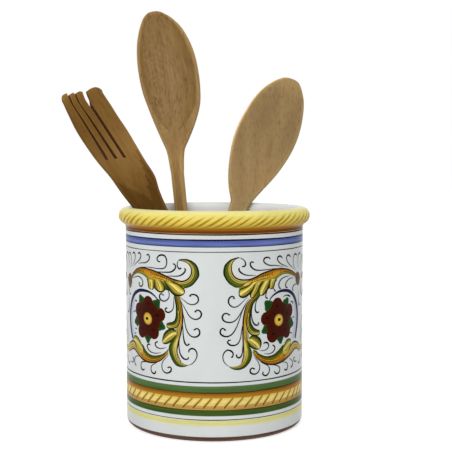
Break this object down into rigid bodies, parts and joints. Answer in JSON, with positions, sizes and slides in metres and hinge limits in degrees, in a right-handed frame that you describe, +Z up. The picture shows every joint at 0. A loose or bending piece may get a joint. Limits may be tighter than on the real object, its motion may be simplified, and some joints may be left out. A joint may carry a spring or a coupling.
{
  "type": "utensil crock",
  "caption": "Straight-sided glazed utensil crock with a rolled rope rim and painted scrollwork, holding a wooden spoon, a slotted fork and a flat spatula that lift out.",
  "frame": {"origin": "centre of the crock's flat base, on the surface it stands on", "axes": "+Z up along the crock's axis, -Y toward the viewer and the blank strip between the two front scrolls, +X to the viewer's right"},
  "size_m": [0.2197, 0.1762, 0.3682],
  "materials": {
    "glaze": "gloss",
    "spoon_wood": "matte",
    "fork_wood": "matte",
    "spatula_wood": "matte"
  },
  "bodies": {
    "crock": {"crock": "glaze"},
    "spoon": {"spoon": "spoon_wood"},
    "fork": {"fork": "fork_wood"},
    "spatula": {"spatula": "spatula_wood"}
  },
  "joints": [
    {"name": "spoon_lift", "type": "slide", "parent": "crock", "child": "spoon", "axis": [-0.0985, 0.0645, 0.993], "range_m": [0, 0.2]},
    {"name": "fork_lift", "type": "slide", "parent": "crock", "child": "fork", "axis": [-0.523, 0.0469, 0.851], "range_m": [0, 0.23]},
    {"name": "spatula_lift", "type": "slide", "parent": "crock", "child": "spatula", "axis": [0.351, 0.2447, 0.9038], "range_m": [0, 0.215]}
  ]
}
